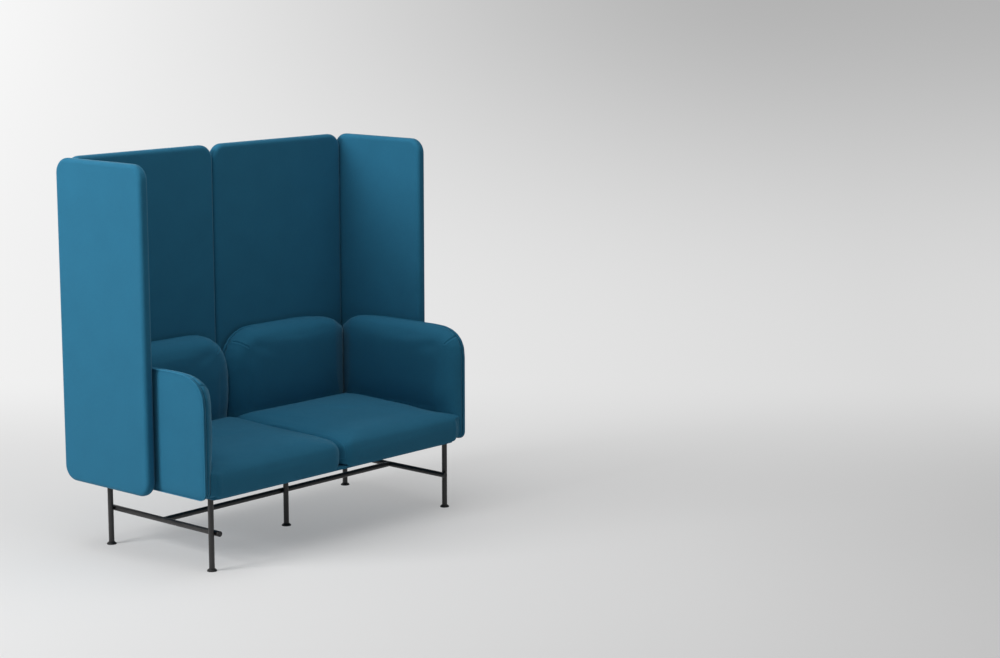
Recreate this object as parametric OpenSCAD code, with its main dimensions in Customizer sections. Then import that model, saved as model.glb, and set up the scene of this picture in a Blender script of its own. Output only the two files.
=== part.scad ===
// High-back sofa: two seats between padded arms, inside four tall upholstered screens,
// on a frame of round tube with five legs. Left and right are as seen from the front.
// The front faces -Y, and the origin lies on the floor under the middle of the sofa.

/* [Overall] */
// Width over the outer faces of the two side screens
overall_w = 1414; // [1300:1:1600]
// Depth from the fronts of the seat cushions to the rear faces of the rear screens
overall_d = 716; // [680:1:800]
// Height of the tops of the screens above the floor
overall_h = 1400; // [1200:1:1600]

/* [Screens] */
// Thickness of a screen with its padding and cover
screen_t = 39; // [34:1:50]
// Height of the lower edges of the screens above the floor
screen_low = 243; // [215:1:255]
// Depth of a side screen from the rear faces forward
side_screen_d = 461; // [420:1:560]
// Radius of the corners of a screen, seen square on
screen_corner_r = 55; // [40:1:80]
// Radius of the rounding along the edges of a screen
screen_edge_r = 16; // [8:1:16]
// Thickness of the padding and cover on each face of a screen's board
screen_skin_t = 8; // [5:1:10]
// Gap between the screens and the boards of the arms and back
screen_gap = 7; // [6:0.5:12]

/* [Arms] */
// Height of the tops of the arms above the floor
arm_h = 697; // [660:1:760]
// Height of the lower edges of the arms above the floor
arm_low = 264; // [260:1:268]
// Thickness of the boards that carry the arms' and the back's padding
board_t = 12; // [10:0.5:18]
// Thickness of an arm's pad in front of its board
arm_pad_t = 64; // [50:1:80]
// Distance that the arms' boards stand behind the fronts of the seat cushions
arm_setback = 10; // [4:1:30]
// Depth of the rounded top front corner of an arm
arm_front_corner_d = 150; // [100:1:180]
// Height of the rounded top front corner of an arm
arm_front_corner_h = 110; // [80:1:150]
// Depth of the rounded top rear corner of an arm
arm_rear_corner_d = 230; // [150:1:260]
// Height of the rounded top rear corner of an arm
arm_rear_corner_h = 116; // [70:1:170]

/* [Back] */
// Height of the top of the back above the floor
back_h = 700; // [670:1:760]
// Thickness of a back pad in front of its board
back_pad_t = 76; // [60:1:90]
// Width of the rounded top corner of a back pad at the middle of the sofa
back_middle_corner_w = 155; // [100:1:200]
// Height of the rounded top corner of a back pad at the middle of the sofa
back_middle_corner_h = 152; // [100:1:200]
// Width of the rounded top corner of a back pad beside the arm
back_side_corner_w = 260; // [150:1:300]
// Height of the rounded top corner of a back pad beside the arm
back_side_corner_h = 138; // [80:1:190]

/* [Seat] */
// Height of the underside of the seat base above the floor
base_low = 258; // [252:1:260]
// Thickness of the seat base panel
base_t = 12; // [11:0.5:16]
// Distance that the base panel stands behind the fronts of the seat cushions
base_setback = 15; // [5:1:25]
// Gap between each end of the base panel and the arm's board
base_end_gap = 39; // [34:1:60]
// Height of a seat cushion's walls above the base panel
cushion_wall_h = 66; // [56:1:90]
// Height that a seat cushion's edges roll up from its walls
cushion_roll_h = 45; // [25:1:55]
// Extra height of a seat cushion's crown at its middle
cushion_crown = 16; // [8:1:30]
// Height that the seat rises from front to rear
seat_rise = 12; // [0:1:25]

/* [Underframe] */
// Outer diameter of the legs and rails
tube_d = 20; // [18:1:25]
// Wall thickness of the legs and rails
tube_wall = 2; // [1.5:0.1:3]
// Height of the axes of the rails above the floor
rail_z = 131; // [100:1:180]
// Distance of a corner leg's axis from the end of the base panel
leg_end_inset = 15; // [15:1:40]
// Distance of a front leg's axis from the front of the base panel
leg_front_inset = 45; // [35:1:70]
// Distance of a rear leg's axis from the rear of the base panel
leg_rear_inset = 69; // [50:1:100]
// Distance of the middle leg's axis in front of the sofa's middle
middle_leg_front = 43; // [0:1:80]
// Length of each side rail's stub in front of the front leg's axis
rail_stub = 21; // [14:1:40]
// Length of each side rail behind the rear leg's axis
rail_tail = 6; // [4:1:30]

/* [Feet] */
// Diameter of a foot glide
glide_d = 35; // [28:1:45]
// Height of a foot glide when it is screwed right in
glide_h = 8; // [6:0.5:12]
// Diameter of a foot glide's threaded stem
stem_d = 8; // [6:1:10]
// Length of a foot glide's stem above its disc
stem_len = 34; // [28:1:45]

/* [Hidden] */
$fn = 48;

// Clearances and overruns
cut = 1;
press_gap = 0.05;
thread_gap = 0.05;
screw_gap = 0.2;
board_gap = 0.2;
joint_gap = 0.3;
soft_gap = 0.5;
squeeze_gap = 1;

// Places of the main faces
side_out = overall_w / 2;
side_in = side_out - screen_t;
arm_out = side_in - screen_gap;
arm_in = arm_out - board_t;
rear_out = overall_d / 2;
rear_in = rear_out - screen_t;
back_out = rear_in - screen_gap;
back_in = back_out - board_t;
front_out = -overall_d / 2;
arm_front = front_out + arm_setback;
base_high = base_low + base_t;
base_end = arm_in - base_end_gap;
base_front = front_out + base_setback;
left = -1;
right = 1;

// Legs and rails
tube_r = tube_d / 2;
bore_r = tube_r - tube_wall;
leg_x = base_end - leg_end_inset;
leg_front_y = base_front + leg_front_inset;
leg_rear_y = back_out - leg_rear_inset;
leg_middle_y = -middle_leg_front;
side_rail_x = leg_x - tube_d;
side_rail_front = leg_front_y - rail_stub;
side_rail_rear = leg_rear_y + rail_tail;
long_rail_y = leg_middle_y + tube_d;
plug_cap_t = 2;
plug_len = 18;
insert_flange_t = 2;
leg_bottom = glide_h + insert_flange_t;
pin_r = 3;

// Plates, brackets and their screws
plate_t = 3;
plate_w = 50;
plate_corner_r = 6;
plate_hole_inset = 8;
plate_shift = plate_w / 2 - tube_r;
leg_top = base_low - plate_t;
screw_head_r = 4.2;
screw_head_h = 1.6;
screw_shank_r = 2.2;
screw_tip_cover = 2;
screw_bite = 18;
base_screw_len = plate_t + base_t - screw_tip_cover;
board_screw_len = plate_t + board_t - screw_tip_cover;
bearer_screw_len = plate_t + screw_bite;
hole_edge = 12;
hole_pitch = 22;
corner_bracket_long = 60;
corner_bracket_short = 55;
corner_bracket_h = 26;
angle_bracket_w = 40;
angle_bracket_under = 85;
angle_bracket_up = 74;
angle_bracket_inner_x = 2 * plate_w;
angle_bracket_outer_x = leg_x - 2 * plate_w;

// Feet
stem_r = stem_d / 2;
glide_rim_h = 3;
glide_land = 2;
glide_top_r = tube_r + glide_land;

// Seat base, frame and webbing
base_corner_r = 22;
bearer_w = 40;
bearer_h = 30;
frame_end_setback = 50;
frame_front_setback = 45;
frame_rear_gap = 110;
frame_end = base_end - frame_end_setback;
frame_front = base_front + frame_front_setback;
frame_rear = back_in - frame_rear_gap;
frame_high = base_high + bearer_h;
front_pocket_y = frame_front - soft_gap;
rear_pocket_y = frame_rear - bearer_w - corner_bracket_short - soft_gap;
pocket_d = bearer_w + corner_bracket_short + 2 * soft_gap;
pocket_high = frame_high + soft_gap;
web_w = 50;
web_t = 1.5;
long_web_count = 8;
cross_web_count = 3;
web_high = frame_high + 2 * web_t;

// Padding: number of steps round a pad's rolled edge, points round a corner and along a side
roll_steps = 7;
corner_steps = 6;
side_steps = 3;
crown_shares = [0.22, 0.5, 0.78];
pad_crown = 4;
edge_roll = 75;
top_roll = 58;
arm_bow = 6;
back_bow = 14;
top_bulge = 4;
hidden_r = 6;
low_corner_r = 28;
inner_corner_r = 40;
pad_seam_inset = 2;
round_power = 2;
arm_power = 2.5;
back_power = 2.3;

// Seat cushions
cushion_low_r = 12;
cushion_belly = 3;
cushion_front_roll = 75;
cushion_middle_roll = 58;
cushion_held_roll = 18;
cushion_corner_r = 45;
cushion_rear_corner_r = 8;
cushion_inner_r = 60;
cushion_end_gap = 13;
cushion_end = arm_in - cushion_end_gap;
cushion_rear = back_in - back_pad_t - pad_crown - squeeze_gap;
cushion_wall_steps = 4;

// Screens and their fixings
panel_gap = 0.6;
screen_board_t = screen_t - 2 * screen_skin_t;
rear_screen_w = side_in - panel_gap;
screen_h = overall_h - screen_low;
bolt_r = 4;
bolt_head_r = 6.5;
bolt_head_h = 5;
bolt_socket_r = 3.2;
bolt_socket_h = 3;
bolt_bite = 18;
bolt_len = board_t - bolt_head_h + screen_gap + screen_skin_t + bolt_bite;
spacer_r = 12;
bolt_rise = 76;
bolt_drop = 100;
bolt_low_z = arm_low + bolt_rise;
bolt_high_z = min(arm_h, back_h) - bolt_drop;
arm_bolt_rear_gap = 70;
arm_bolt_front_gap = 55;
arm_bolt_rear_y = back_in - arm_bolt_rear_gap;
arm_bolt_front_y = rear_out - side_screen_d + arm_bolt_front_gap;
back_bolt_inner_x = 160;
back_bolt_end_gap = 110;
back_bolt_outer_x = arm_in - back_bolt_end_gap;
dowel_r = 4;
dowel_len = 36;
dowel_end_gap = 0.5;
dowel_end_drop = 200;
dowel_low_z = screen_low + dowel_end_drop;
dowel_mid_z = (overall_h + screen_low) / 2;
dowel_high_z = overall_h - dowel_end_drop;

fabric_colour = [0.11, 0.36, 0.46];
steel_colour = [0.09, 0.09, 0.1];
plastic_colour = [0.05, 0.05, 0.06];
wood_colour = [0.78, 0.66, 0.48];
zinc_colour = [0.7, 0.72, 0.74];
web_colour = [0.3, 0.28, 0.26];

// Puts its children, made for one side, on that side or on the other
module flip_if(flip) {
    if (flip) mirror([1, 0, 0]) children();
    else children();
}

// Puts its children at each leg's axis
module at_legs() {
    for (x = [-leg_x, leg_x])
        for (y = [leg_front_y, leg_rear_y])
            translate([x, y, 0]) children();
    translate([0, leg_middle_y, 0]) children();
}

// Rounded rectangle about the origin
module round_rect(w, h, r) {
    square([w - 2 * r, h], center = true);
    square([w, h - 2 * r], center = true);
    for (x = [r - w / 2, w / 2 - r])
        for (y = [r - h / 2, h / 2 - r])
            translate([x, y]) circle(r);
}

// Cylinder along X or Y from a point
module rod_x(from, len, r) {
    translate(from) rotate([0, 90, 0]) cylinder(h = len, r = r);
}
module rod_y(from, len, r) {
    translate(from) rotate([-90, 0, 0]) cylinder(h = len, r = r);
}

// Countersunk screw, head down at the origin, shank up along Z
module flat_screw(len) {
    cylinder(h = screw_head_h, r = screw_head_r);
    cylinder(h = len, r = screw_shank_r);
}

// Hole for that screw in the plate under its head
module screw_hole() {
    translate([0, 0, -cut]) cylinder(h = screw_head_h + cut + screw_gap, r = screw_head_r + screw_gap);
    pilot_hole(plate_t);
}

// Hole for that screw's shank in what it goes into
module pilot_hole(len) {
    cylinder(h = len + screw_gap, r = screw_shank_r + screw_gap);
}

// Closed solid through a list of rings, with a middle point at each end
module ring_solid(rings, first_middle, last_middle) {
    rows = len(rings);
    cols = len(rings[0]);
    points = concat([for (ring = rings) each ring], [first_middle, last_middle]);
    first = rows * cols;
    last = first + 1;
    faces = concat(
        [for (i = [0 : rows - 2]) for (j = [0 : cols - 1])
            let (k = (j + 1) % cols)
            each [[i * cols + j, (i + 1) * cols + j, (i + 1) * cols + k],
                [i * cols + j, (i + 1) * cols + k, i * cols + k]]],
        [for (j = [0 : cols - 1]) [first, j, (j + 1) % cols]],
        [for (j = [0 : cols - 1])
            [last, (rows - 1) * cols + (j + 1) % cols, (rows - 1) * cols + j]]);
    polyhedron(points = points, faces = faces);
}

// Signed power, for rounded corners that are fuller than a circle's
function bent(q, power) = sign(q) * pow(abs(q), 2 / power);

// Points round a corner of half-sizes a about c, from one angle to another
function corner(c, a, power, from, to) = [for (i = [0 : corner_steps])
    let (t = from + (to - from) * i / corner_steps)
    [c[0] + a[0] * bent(cos(t), power), c[1] + a[1] * bent(sin(t), power)]];

// Points between two ends, without the ends
function between(a, b) = [for (i = [1 : side_steps]) a + (b - a) * i / (side_steps + 1)];

// Closed outline through four corners, with points along its sides
function join_corners(a, b, c, d) = concat(
    a, between(a[corner_steps], b[0]), b, between(b[corner_steps], c[0]),
    c, between(c[corner_steps], d[0]), d, between(d[corner_steps], a[0]));

// Half-size of a corner once its outline is drawn in
function drawn_in(size, inset) = max(size - inset, min(inner_corner_r, inset));

// Outline of an arm or a back pad, once its rolled edge has turned by an angle.
// It runs from a free edge to a mitre with the next pad. Halfway up, the free edge bows out,
// but never past its line at the board.
// Shape holds: free edge, outer corner, low, high, thickness, free corner size, its power,
// mitre corner size, bow
function pad_outline(turn, shape) =
    let (
        inset = 1 - cos(turn),
        depth = shape[4] * sin(turn),
        free = shape[0] + edge_roll * inset,
        mitre = shape[1] - board_t - depth - joint_gap,
        low = shape[2] + edge_roll * inset,
        top_inset = top_roll * inset - top_bulge * sin(2 * turn),
        high = shape[3] - top_inset,
        free_a = [drawn_in(shape[5][0], edge_roll * inset), drawn_in(shape[5][1], top_roll * inset)],
        far_c = [shape[1] - shape[7][0], high - max(shape[7][1] - top_inset, hidden_r)],
        far_a = [shape[7][0], high - far_c[1]],
        low_a = drawn_in(low_corner_r, edge_roll * inset),
        start = acos(pow((mitre - far_c[0]) / far_a[0], round_power / 2)),
        flat = join_corners(
            corner([mitre - hidden_r, low + hidden_r], [hidden_r, hidden_r], round_power, -90, 0),
            corner(far_c, far_a, round_power, start, 90),
            corner([free + free_a[0], high - free_a[1]], free_a, shape[6], 90, 180),
            corner([free + low_a, low + low_a], [low_a, low_a], round_power, 180, 270)))
    [for (p = flat)
        let (
            near = max(1 - (p[0] - free) / edge_roll, 0),
            rise = sin(180 * (p[1] - low) / (high - low)))
        [max(p[0] - shape[8] * sin(2 * turn) * near * rise, shape[0]), p[1]]];

// Middle of an outline
function middle(ring) = [(min([for (p = ring) p[0]]) + max([for (p = ring) p[0]])) / 2,
    (min([for (p = ring) p[1]]) + max([for (p = ring) p[1]])) / 2];

// Rings of a pad as lists of points [along, up, out from the board]
function pad_rings(shape) =
    let (
        inner = pad_outline(90, shape),
        c = middle(inner))
    concat(
        [for (i = [0 : roll_steps])
            let (turn = 90 * i / roll_steps)
            [for (p = pad_outline(turn, shape)) [p[0], p[1], shape[4] * sin(turn)]]],
        [for (s = crown_shares)
            let (out = shape[4] + pad_crown * (1 - (1 - s) * (1 - s)))
            [for (p = inner)
                let (q = c + (p - c) * (1 - s))
                [q[0], q[1], out]]]);

arm_shape = [arm_front, back_out, arm_low, arm_h, arm_pad_t,
    [arm_front_corner_d, arm_front_corner_h], arm_power, [arm_rear_corner_d, arm_rear_corner_h],
    arm_bow];
back_shape = [panel_gap, arm_out, base_high, back_h, back_pad_t,
    [back_middle_corner_w, back_middle_corner_h], back_power, [back_side_corner_w, back_side_corner_h],
    back_bow];

// Outline of the board behind a pad, out to the outer corner
function board_outline(shape) =
    let (
        free = shape[0] + pad_seam_inset,
        low = shape[2],
        high = shape[3] - pad_seam_inset,
        far = shape[1])
    concat(
        [[far, low]],
        corner([far - shape[7][0], high - shape[7][1]], shape[7], round_power, 0, 90),
        corner([free + shape[5][0], high - shape[5][1]], shape[5], shape[6], 90, 180),
        corner([free + low_corner_r, low + low_corner_r], [low_corner_r, low_corner_r],
            round_power, 180, 270));

// Distance that an arm's pad stands out from its board at a place, at most
function arm_bulge_at(y, z) =
    let (
        from_front = (y - arm_front + arm_bow) / edge_roll,
        from_low = (z - arm_low) / edge_roll,
        g = min(max(min(from_front, from_low), 0), 1))
    (arm_pad_t + pad_crown) * sqrt(1 - (1 - g) * (1 - g));

// One ring of the right seat cushion: its height, then how far its front, its middle
// edge and its edges against the pads are drawn in, and how far its corners have opened
function cushion_ring(z, front, inner, held, open) =
    let (
        x0 = panel_gap + inner,
        x1 = cushion_end - held,
        y0 = front_out + front,
        y1 = cushion_rear - held,
        a = cushion_corner_r + (cushion_inner_r - cushion_corner_r) * open,
        b = cushion_rear_corner_r,
        top = cushion_wall_h + cushion_roll_h,
        flat = join_corners(
            corner([x1 - b, y1 - b], [b, b], round_power, 0, 90),
            corner([x0 + b, y1 - b], [b, b], round_power, 90, 180),
            corner([x0 + a, y0 + a], [a, a], round_power, 180, 270),
            corner([x1 - a, y0 + a], [a, a], round_power, 270, 360)))
    [for (p = flat)
        let (
            rise = seat_rise * (p[1] - front_out) / (cushion_rear - front_out) * (z - base_high) / top,
            limit = arm_in - arm_bulge_at(p[1], z) - held - squeeze_gap)
        [min(p[0], limit), p[1], z + rise]];

// All rings of the right seat cushion
function cushion_rings() =
    let (
        wall_z = base_high + cushion_wall_h,
        top_z = wall_z + cushion_roll_h,
        inner = cushion_ring(top_z, cushion_front_roll + cushion_belly, cushion_middle_roll,
            cushion_held_roll, 1),
        c = middle(inner))
    concat(
        [for (turn = [0, 45, 90])
            let (draw = cushion_low_r * (1 - sin(turn)))
            cushion_ring(base_high + cushion_low_r * (1 - cos(turn)), draw + cushion_belly,
                draw, draw, 0)],
        [for (i = [1 : cushion_wall_steps])
            let (share = i / cushion_wall_steps)
            cushion_ring(base_high + cushion_low_r + (cushion_wall_h - cushion_low_r) * share,
                cushion_belly * (1 - sin(180 * share)), 0, 0, 0)],
        [for (i = [1 : roll_steps])
            let (turn = 90 * i / roll_steps, draw = 1 - cos(turn))
            cushion_ring(wall_z + cushion_roll_h * sin(turn), cushion_front_roll * draw + cushion_belly,
                cushion_middle_roll * draw, cushion_held_roll * draw, draw)],
        [for (s = crown_shares)
            [for (p = inner)
                [c[0] + (p[0] - c[0]) * (1 - s), c[1] + (p[1] - c[1]) * (1 - s),
                    p[2] + cushion_crown * (1 - (1 - s) * (1 - s))]]]);

// Section of a screen's edge, from a corner's centre outwards
module edge_section(r, t, edge_r) {
    translate([0, -t / 2]) square([r - edge_r, t]);
    translate([0, edge_r - t / 2]) square([r, t - 2 * edge_r]);
    for (y = [edge_r - t / 2, t / 2 - edge_r])
        translate([r - edge_r, y]) circle(edge_r);
}

// Screen with rounded corners and rounded edges, upright in the XZ plane about the origin
module rounded_screen(w, h, t, corner_r, edge_r) {
    dx = w / 2 - corner_r;
    dz = h / 2 - corner_r;
    cube([2 * dx, t, 2 * dz], center = true);
    for (i = [0 : 3]) {
        x = (i == 0 || i == 3) ? dx : -dx;
        z = i < 2 ? dz : -dz;
        translate([x, 0, z]) rotate([90, -90 * i, 0])
            rotate_extrude(angle = 90) edge_section(corner_r, t, edge_r);
    }
    for (i = [0, 2])
        rotate([0, -90 * i, 0]) translate([dx, 0, -dz])
            linear_extrude(2 * dz) edge_section(corner_r, t, edge_r);
    for (i = [1, 3])
        rotate([0, -90 * i, 0]) translate([dz, 0, -dx])
            linear_extrude(2 * dx) edge_section(corner_r, t, edge_r);
}

// Board inside a screen, smaller than its cover by a gap
module screen_board(w, gap) {
    inset = screen_skin_t + gap;
    rotate([90, 0, 0])
        linear_extrude(screen_board_t - 2 * gap, center = true)
            round_rect(w - 2 * inset, screen_h - 2 * inset, screen_corner_r - inset);
}

// Places of the screens' middles
module at_side_screen() {
    translate([side_out - screen_t / 2, rear_out - side_screen_d / 2, screen_low + screen_h / 2])
        rotate([0, 0, 90]) children();
}
module at_rear_screen() {
    translate([(rear_screen_w + panel_gap) / 2, rear_out - screen_t / 2, screen_low + screen_h / 2])
        children();
}

// Rods where the bolts pass from the arm boards and back boards into the screens
module arm_bolt_rods(from, len, r) {
    for (y = [arm_bolt_front_y, arm_bolt_rear_y])
        for (z = [bolt_low_z, bolt_high_z])
            rod_x([from, y, z], len, r);
}
module back_bolt_rods(from, len, r) {
    for (x = [back_bolt_inner_x, back_bolt_outer_x])
        for (z = [bolt_low_z, bolt_high_z])
            rod_y([x, from, z], len, r);
}

// Dowels across the joints: rear screen to side screen, and rear screen to rear screen
module side_dowels(gap) {
    for (z = [dowel_low_z, dowel_mid_z, dowel_high_z])
        rod_x([side_in - dowel_len / 2 - gap, rear_out - screen_t / 2, z],
            dowel_len + 2 * gap, dowel_r + min(gap, press_gap));
}
module middle_dowels(gap) {
    for (z = [dowel_low_z, dowel_mid_z, dowel_high_z])
        rod_x([-dowel_len / 2 - gap, rear_out - screen_t / 2, z],
            dowel_len + 2 * gap, dowel_r + min(gap, press_gap));
}

// Leg at the origin, with pin holes towards the rail that it carries
module leg_tube(turn) {
    color(steel_colour) difference() {
        translate([0, 0, leg_bottom]) cylinder(h = leg_top - leg_bottom, r = tube_r);
        translate([0, 0, leg_bottom - cut])
            cylinder(h = leg_top - leg_bottom + 2 * cut, r = bore_r);
        rotate([0, 0, turn]) rod_x([0, 0, rail_z], tube_d, pin_r + press_gap);
    }
}

module corner_leg(side, y) {
    translate([side * leg_x, y, 0]) leg_tube(side < 0 ? 0 : 180);
}

// Right side rail, with holes for the pins into the legs and the long rail
module side_rail() {
    color(steel_colour) difference() {
        rod_y([side_rail_x, side_rail_front, rail_z], side_rail_rear - side_rail_front, tube_r);
        rod_y([side_rail_x, side_rail_front - cut, rail_z],
            side_rail_rear - side_rail_front + 2 * cut, bore_r);
        for (y = [leg_front_y, leg_rear_y])
            rod_x([side_rail_x, y, rail_z], tube_d, pin_r + press_gap);
        rod_x([side_rail_x - tube_d, long_rail_y, rail_z], tube_d, pin_r + press_gap);
    }
}

// Rail between the side rails, coped to sit on them, pinned to the middle leg
module long_rail() {
    color(steel_colour) difference() {
        rod_x([-side_rail_x, long_rail_y, rail_z], 2 * side_rail_x, tube_r);
        rod_x([-side_rail_x - cut, long_rail_y, rail_z], 2 * (side_rail_x + cut), bore_r);
        for (x = [-side_rail_x, side_rail_x])
            rod_y([x, long_rail_y - tube_d, rail_z], 2 * tube_d, tube_r + press_gap);
        rod_y([0, long_rail_y - tube_d, rail_z], tube_d, pin_r + press_gap);
    }
}

module rail_end_plugs() {
    color(plastic_colour)
        for (x = [-side_rail_x, side_rail_x]) {
            rod_y([x, side_rail_front - plug_cap_t, rail_z], plug_cap_t, tube_r);
            rod_y([x, side_rail_front - plug_cap_t, rail_z], plug_cap_t + (rail_stub - pin_r) / 2,
                bore_r - press_gap);
            rod_y([x, side_rail_rear, rail_z], plug_cap_t, tube_r);
            rod_y([x, side_rail_rear - (rail_tail - pin_r) / 2, rail_z],
                plug_cap_t + (rail_tail - pin_r) / 2, bore_r - press_gap);
        }
}

// Bored plugs that take the pins in the ends of the long rail
module long_rail_plugs() {
    color(plastic_colour) for (flip = [false, true])
        flip_if(flip) difference() {
            rod_x([side_rail_x - tube_r - press_gap - plug_len, long_rail_y, rail_z], plug_len,
                bore_r - press_gap);
            rod_x([side_rail_x - tube_r - plug_len - cut, long_rail_y, rail_z], plug_len + 2 * cut,
                pin_r + press_gap);
        }
}

// Solid pins that hold the rails against the legs and each other
module frame_pins() {
    color(zinc_colour) {
        for (side = [left, right]) {
            for (y = [leg_front_y, leg_rear_y])
                rod_x([side * (leg_x - tube_r) - bore_r, y, rail_z], 2 * bore_r, pin_r);
            rod_x([side * (side_rail_x - tube_r) - bore_r, long_rail_y, rail_z], 2 * bore_r, pin_r);
        }
        rod_y([0, long_rail_y - tube_r - bore_r, rail_z], 2 * bore_r, pin_r);
    }
}

// Puts its children where the plate of each leg has its middle
module at_plates() {
    for (side = [left, right])
        for (y = [leg_front_y, leg_rear_y])
            translate([side * (leg_x - plate_shift), y, 0]) children();
    translate([0, leg_middle_y, 0]) children();
}

module at_plate_holes() {
    d = plate_w / 2 - plate_hole_inset;
    for (x = [-d, d])
        for (y = [-d, d])
            translate([x, y, leg_top]) children();
}

module leg_plates() {
    color(steel_colour) at_plates() difference() {
        translate([0, 0, leg_top]) linear_extrude(plate_t) round_rect(plate_w, plate_w, plate_corner_r);
        at_plate_holes() screw_hole();
    }
}

module leg_plate_screws() {
    color(zinc_colour) at_plates() at_plate_holes() flat_screw(base_screw_len);
}

// Plugs in the legs' feet, bored for the glides' stems
module leg_inserts() {
    color(plastic_colour) at_legs() difference() {
        translate([0, 0, glide_h]) union() {
            cylinder(h = insert_flange_t, r = tube_r);
            cylinder(h = insert_flange_t + plug_len, r = bore_r - press_gap);
        }
        translate([0, 0, glide_h - cut])
            cylinder(h = insert_flange_t + plug_len + 2 * cut, r = stem_r + thread_gap);
    }
}

module foot_glide(x, y) {
    color(plastic_colour) translate([x, y, 0]) union() {
        rotate_extrude() polygon([[0, 0], [glide_d / 2, 0], [glide_d / 2, glide_rim_h],
            [glide_top_r, glide_h], [0, glide_h]]);
        cylinder(h = glide_h + stem_len, r = stem_r);
    }
}

module seat_base_panel() {
    w = 2 * base_end;
    d = back_out - base_front;
    color(fabric_colour) difference() {
        translate([0, base_front + d / 2, base_low]) linear_extrude(base_t)
            round_rect(w, d, base_corner_r);
        at_plates() at_plate_holes() pilot_hole(base_screw_len);
        at_angle_brackets() under_holes() pilot_hole(base_screw_len);
    }
}

// Softwood bearer across the sofa, from one arm board to the other, on the base panel
module seat_bearer(y) {
    color(wood_colour) difference() {
        translate([-arm_in, y, base_high]) cube([2 * arm_in, bearer_w, bearer_h]);
        at_corner_brackets() long_holes() pilot_hole(bearer_screw_len);
    }
}

// Softwood rails between the bearers: one at each end and one in the middle
module seat_cross_rails() {
    end = frame_end - bearer_w / 2;
    color(wood_colour)
        for (x = [-end, 0, end])
            translate([x - bearer_w / 2, frame_front + bearer_w, base_high])
                cube([bearer_w, frame_rear - frame_front - 2 * bearer_w, bearer_h]);
}

// Elastic webbing: straps from front to rear, with cross straps over them
module seat_webbing() {
    d = frame_rear - frame_front;
    pitch = 2 * frame_end / long_web_count;
    cross_pitch = d / (cross_web_count + 1);
    color(web_colour) {
        for (i = [0 : long_web_count - 1])
            translate([-frame_end + pitch * (i + 1 / 2) - web_w / 2, frame_front, frame_high])
                cube([web_w, d, web_t]);
        for (i = [1 : cross_web_count])
            translate([-frame_end, frame_front + cross_pitch * i - web_w / 2, frame_high + web_t])
                cube([2 * frame_end, web_w, web_t]);
    }
}

// Right seat cushion, hollowed underneath for the frame and the webbing
module seat_cushion() {
    rings = cushion_rings();
    inner = rings[len(rings) - 1];
    c = middle(inner);
    top = max([for (p = inner) p[2]]);
    color(fabric_colour) difference() {
        ring_solid(rings, [c[0], c[1], base_high], [c[0], c[1], top]);
        translate([-cut, frame_front - soft_gap, base_high - cut])
            cube([frame_end + soft_gap + cut, frame_rear - frame_front + 2 * soft_gap,
                web_high - base_high + soft_gap + cut]);
        for (y = [front_pocket_y, rear_pocket_y])
            translate([0, y, base_high - cut]) cube([arm_in, pocket_d, pocket_high - base_high + cut]);
    }
}

// Left arm board with holes for the bolts to the side screen and the corner brackets' screws
module arm_board() {
    color(fabric_colour) difference() {
        translate([-arm_in, 0, 0]) rotate([90, 0, -90]) mirror([1, 0, 0])
            linear_extrude(board_t) polygon(board_outline(arm_shape));
        mirror([1, 0, 0]) {
            arm_bolt_rods(arm_in - cut, board_t + 2 * cut, bolt_r + screw_gap);
            arm_bolt_rods(arm_in - cut, bolt_head_h + cut, bolt_head_r + screw_gap);
            at_corner_brackets() short_holes() pilot_hole(board_screw_len);
        }
    }
}

// Left arm pad, with pockets for the bearers and the corner brackets
module arm_pad() {
    flat = pad_rings(arm_shape);
    rings = [for (ring = flat) [for (p = ring) [p[2] - arm_in, p[0], p[1]]]];
    c = middle(flat[len(flat) - 1]);
    color(fabric_colour) difference() {
        ring_solid(rings, [-arm_in, c[0], c[1]], [arm_pad_t + pad_crown - arm_in, c[0], c[1]]);
        for (y = [front_pocket_y, rear_pocket_y])
            translate([-arm_in - cut, y, arm_low - cut])
                cube([arm_pad_t + cut, pocket_d, pocket_high - arm_low + cut]);
    }
}

// Right back board with holes for the bolts to the rear screen and the brackets' screws
module back_board() {
    color(fabric_colour) difference() {
        intersection() {
            translate([0, back_out, 0]) rotate([90, 0, 0])
                linear_extrude(board_t) polygon(board_outline(back_shape));
            translate([0, back_in - cut, base_high])
                cube([arm_in - joint_gap, board_t + 2 * cut, back_h]);
        }
        back_bolt_rods(back_in - cut, board_t + 2 * cut, bolt_r + screw_gap);
        back_bolt_rods(back_in - cut, bolt_head_h + cut, bolt_head_r + screw_gap);
        at_angle_brackets() up_holes() pilot_hole(board_screw_len);
    }
}

// Right back pad
module back_pad() {
    flat = pad_rings(back_shape);
    rings = [for (ring = flat) [for (p = ring) [p[0], back_in - p[2], p[1]]]];
    c = middle(flat[len(flat) - 1]);
    color(fabric_colour)
        ring_solid(rings, [c[0], back_in, c[1]], [c[0], back_in - back_pad_t - pad_crown, c[1]]);
}

// Puts its children where each arm board meets a bearer's inner face
module at_corner_brackets() {
    for (flip = [false, true])
        flip_if(flip) {
            translate([arm_in, frame_front + bearer_w, base_high]) children();
            translate([arm_in, frame_rear - bearer_w, base_high]) mirror([0, 1, 0]) children();
        }
}

// Screw places on a corner bracket: on the leg along the bearer, and on the leg along the board
module long_holes() {
    for (i = [0, 1])
        translate([hole_edge + i * hole_pitch - corner_bracket_long, plate_t, corner_bracket_h / 2])
            rotate([90, 0, 0]) children();
}
module short_holes() {
    for (i = [0, 1])
        translate([-plate_t, corner_bracket_short - hole_edge - i * hole_pitch, corner_bracket_h / 2])
            rotate([0, 90, 0]) children();
}

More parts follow.
